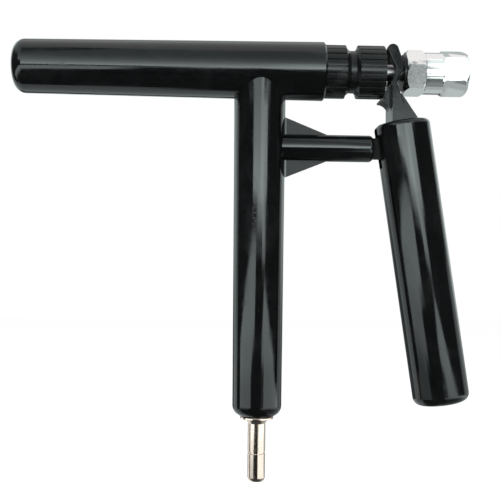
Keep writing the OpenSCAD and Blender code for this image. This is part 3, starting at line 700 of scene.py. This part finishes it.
def capCore(setup, length, radius):
    root = radius - setup["depth"]
    edge = radius - setup["bevel"] - setup["depth"]
    grooveEnd = length - setup["rightBand"]
    floorEnd = grooveEnd - setup["grooveSlope"]
    floor = radius - setup["grooveDepth"]
    seat, chamber, hole = setup["seat"] / 2, setup["chamber"] / 2, setup["bushHole"] / 2
    profile = [
        (0, seat), (0, edge), (setup["bevel"], root), (setup["leftBand"] - setup["bevel"], root),
        (setup["leftBand"], edge),
        (floorEnd - setup["grooveFloor"], floor), (floorEnd, floor), (grooveEnd, edge),
        (grooveEnd + setup["bevel"], root), (length - setup["bevel"], root), (length, edge), (length, hole),
        (length - setup["wall"], hole), (length - setup["wall"], chamber), (setup["seatDepth"], chamber),
        (setup["seatDepth"], seat),
    ]
    sides = setup["coreSides"]
    verts, faces = [], []
    for side in range(sides):
        angle = 2 * math.pi * side / sides
        verts += [(x, r * math.sin(angle), r * math.cos(angle)) for x, r in profile]
    count = len(profile)
    for side in range(sides):
        here, there = side * count, (side + 1) % sides * count
        for k in range(count):
            n = (k + 1) % count
            faces.append((here + k, here + n, there + n, there + k))
    mesh = bpy.data.meshes.new("capCore")
    mesh.from_pydata(verts, [], faces)
    faceOutwards(mesh)
    return mesh


def makeCapTree(setup, sizes):
    tree, given, out = newShapeTree("ribbedCap", sizes)
    index = addNode(tree, "GeometryNodeInputIndex").outputs[0]

    def ring(count, turn, item):
        points = addNode(tree, "GeometryNodePoints")
        points.inputs["Count"].default_value = count
        angle = mathNode(tree, "ADD", mathNode(tree, "MULTIPLY", index, 2 * math.pi / count), turn)
        placed = addNode(tree, "GeometryNodeInstanceOnPoints", {
            "Points": points.outputs[0], "Instance": item, "Rotation": pointNode(tree, {0: angle})})
        return addNode(tree, "GeometryNodeRealizeInstances", {0: placed.outputs[0]}).outputs[0]

    # One vent, drilled along the cap through its end wall
    drill = addNode(tree, "GeometryNodeMeshCylinder", {
        "Radius": mathNode(tree, "MULTIPLY", given["VentSize"], 0.5),
        "Depth": mathNode(tree, "MULTIPLY", given["Wall"], 2.0)})
    drill.inputs["Vertices"].default_value = setup["ventSides"]
    ventPlace = pointNode(tree, {0: given["Length"], 2: mathNode(tree, "MULTIPLY", given["VentRing"], 0.5)})
    laid = addNode(tree, "GeometryNodeTransform", {
        "Geometry": drill.outputs["Mesh"], "Translation": ventPlace, "Rotation": (0, math.pi / 2, 0)})
    drilled = addNode(tree, "GeometryNodeMeshBoolean", operation="DIFFERENCE", solver="EXACT")
    tree.links.new(given["Geometry"], drilled.inputs["Mesh 1"])
    tree.links.new(ring(setup["vents"], 0.0, laid.outputs[0]), drilled.inputs["Mesh 2"])

    # A rib's section, its foot sunk a little into the core
    root = mathNode(tree, "SUBTRACT", given["Radius"], given["Depth"])
    pitch = 2 * math.pi / setup["ribs"]
    ribHeight = mathNode(tree, "ADD", given["Depth"], given["Sink"])
    section = addNode(tree, "GeometryNodeCurvePrimitiveQuadrilateral", {
        "Bottom Width": mathNode(tree, "MULTIPLY", root, pitch * setup["footShare"]),
        "Top Width": mathNode(tree, "MULTIPLY", given["Radius"], pitch * setup["topShare"]),
        "Height": ribHeight, "Offset": 0.0}, mode="TRAPEZOID")
    rounded = addNode(tree, "GeometryNodeFilletCurve", {
        "Curve": section.outputs[0], "Radius": given["Round"]}, mode="POLY")
    rounded.inputs["Count"].default_value = setup["roundSteps"]
    rows = [drilled.outputs["Mesh"]]
    for start, end in (("LeftStart", "LeftEnd"), ("RightStart", "RightEnd")):
        line = addNode(tree, "GeometryNodeCurvePrimitiveLine", {
            "Start": pointNode(tree, {0: given[start]}), "End": pointNode(tree, {0: given[end]})})
        cut = addNode(tree, "GeometryNodeResampleCurve", {"Curve": line.outputs[0]})
        cut.inputs["Count"].default_value = setup["rings"]
        ends = addNode(tree, "GeometryNodeCurveEndpointSelection").outputs[0]
        taper = addNode(tree, "GeometryNodeSetCurveRadius", {
            "Curve": cut.outputs[0], "Selection": ends, "Radius": setup["endTaper"]})
        bar = addNode(tree, "GeometryNodeCurveToMesh", {
            "Curve": taper.outputs[0], "Profile Curve": rounded.outputs[0], "Fill Caps": True})
        lift = mathNode(tree, "SUBTRACT", given["Radius"], mathNode(tree, "MULTIPLY", ribHeight, 0.5))
        raised = addNode(tree, "GeometryNodeTransform", {
            "Geometry": bar.outputs[0], "Translation": pointNode(tree, {2: lift})})
        rows.append(ring(setup["ribs"], math.radians(setup["turn"]), raised.outputs[0]))
    joined = addNode(tree, "GeometryNodeJoinGeometry")
    for row in reversed(rows):
        tree.links.new(row, joined.inputs[0])
    placed = addNode(tree, "GeometryNodeTransform", {
        "Geometry": joined.outputs[0],
        "Translation": pointNode(tree, {0: given["Start"], 2: given["AxisHeight"]})})
    endShapeTree(tree, placed.outputs[0], given["Finish"], out)
    return tree


def makeCap(setup):
    low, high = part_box("end_cap")
    length, radius = high[0] - low[0], (high[2] - low[2]) / 2
    sizes = {
        "Start": low[0], "AxisHeight": (low[2] + high[2]) / 2, "Length": length, "Radius": radius,
        "Depth": setup["depth"], "Sink": setup["sink"], "Round": setup["round"], "LeftStart": 0.0,
        "LeftEnd": setup["leftBand"], "RightStart": length - setup["rightBand"], "RightEnd": length,
        "Wall": setup["wall"], "VentSize": setup["ventSize"], "VentRing": setup["ventRing"],
    }
    core = capCore(setup, length, radius)
    values = {**sizes, "Finish": materials[slotOf["end_cap"]]}
    mesh = runShapeTree(makeCapTree(setup, sizes), core, "ribbedCap", values)
    faceOutwards(mesh)
    mesh.shade_smooth()
    mesh.set_sharp_from_angle(angle=math.radians(setup["sharp"]))
    finishPiece("ribbedCap", mesh, "end_cap")


makeCap(ribbedCap)
print("end cap ribbed")

# The wound spring inside the end cap
returnSpring = {
    "wire": 0.001, "coil": 0.0102, "openTurns": 7, "closePitch": 0.0016,
    "ringsPerTurn": 40, "wireSides": 14, "travel": 0.0137,
}


def makeSpringTree(setup, sizes):
    tree, given, out = newShapeTree("springCoil", sizes)
    allTurns = setup["openTurns"] + 2
    line = addNode(tree, "GeometryNodeCurvePrimitiveLine")
    wound = addNode(tree, "GeometryNodeResampleCurve", {"Curve": line.outputs[0]})
    wound.inputs["Count"].default_value = allTurns * setup["ringsPerTurn"] + 1
    share = addNode(tree, "GeometryNodeSplineParameter").outputs["Factor"]
    turns = mathNode(tree, "MULTIPLY", share, mathNode(tree, "ADD", given["OpenTurns"], 2.0))
    openRun = mathNode(tree, "SUBTRACT", given["Run"], mathNode(tree, "MULTIPLY", given["ClosePitch"], 2.0))
    openPitch = mathNode(tree, "DIVIDE", openRun, given["OpenTurns"])
    closeStart = mathNode(tree, "MINIMUM", turns, 1.0)
    past = mathNode(tree, "MAXIMUM", mathNode(tree, "SUBTRACT", turns, 1.0), 0.0)
    opened = mathNode(tree, "MINIMUM", past, given["OpenTurns"])
    closeEnd = mathNode(tree, "SUBTRACT", past, opened)
    closes = mathNode(tree, "MULTIPLY", mathNode(tree, "ADD", closeStart, closeEnd), given["ClosePitch"])
    along = mathNode(tree, "ADD", closes, mathNode(tree, "MULTIPLY", opened, openPitch))
    angle = mathNode(tree, "MULTIPLY", turns, 2 * math.pi)
    radius = mathNode(tree, "MULTIPLY", given["Coil"], 0.5)
    point = pointNode(tree, {
        0: mathNode(tree, "ADD", given["Start"], along),
        1: mathNode(tree, "MULTIPLY", mathNode(tree, "SINE", angle), radius),
        2: mathNode(tree, "ADD", given["Height"],
                    mathNode(tree, "MULTIPLY", mathNode(tree, "COSINE", angle), radius)),
    })
    coil = addNode(tree, "GeometryNodeSetPosition", {"Geometry": wound.outputs[0], "Position": point})
    section = addNode(tree, "GeometryNodeCurvePrimitiveCircle", {
        "Radius": mathNode(tree, "MULTIPLY", given["Wire"], 0.5)})
    section.inputs["Resolution"].default_value = setup["wireSides"]
    wire = addNode(tree, "GeometryNodeCurveToMesh", {
        "Curve": coil.outputs[0], "Profile Curve": section.outputs[0], "Fill Caps": True})
    endShapeTree(tree, wire.outputs[0], given["Finish"], out)
    return tree


def makeSpring(setup):
    low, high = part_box("return_spring")
    length, axisHeight = high[0] - low[0], (low[2] + high[2]) / 2
    sizes = {
        "Start": low[0] + setup["wire"] / 2, "Height": axisHeight, "Run": length - setup["wire"],
        "Coil": setup["coil"], "Wire": setup["wire"], "ClosePitch": setup["closePitch"],
        "OpenTurns": float(setup["openTurns"]),
    }
    values = {**sizes, "Finish": materials[slotOf["return_spring"]]}
    tree, base = makeSpringTree(setup, sizes), bpy.data.meshes.new("springBase")
    mesh = runShapeTree(tree, base, "woundSpring", values)
    mesh.shade_smooth()
    spring = finishPiece("woundSpring", mesh, "return_spring")
    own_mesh(spring)


makeSpring(returnSpring)
print("spring wound")
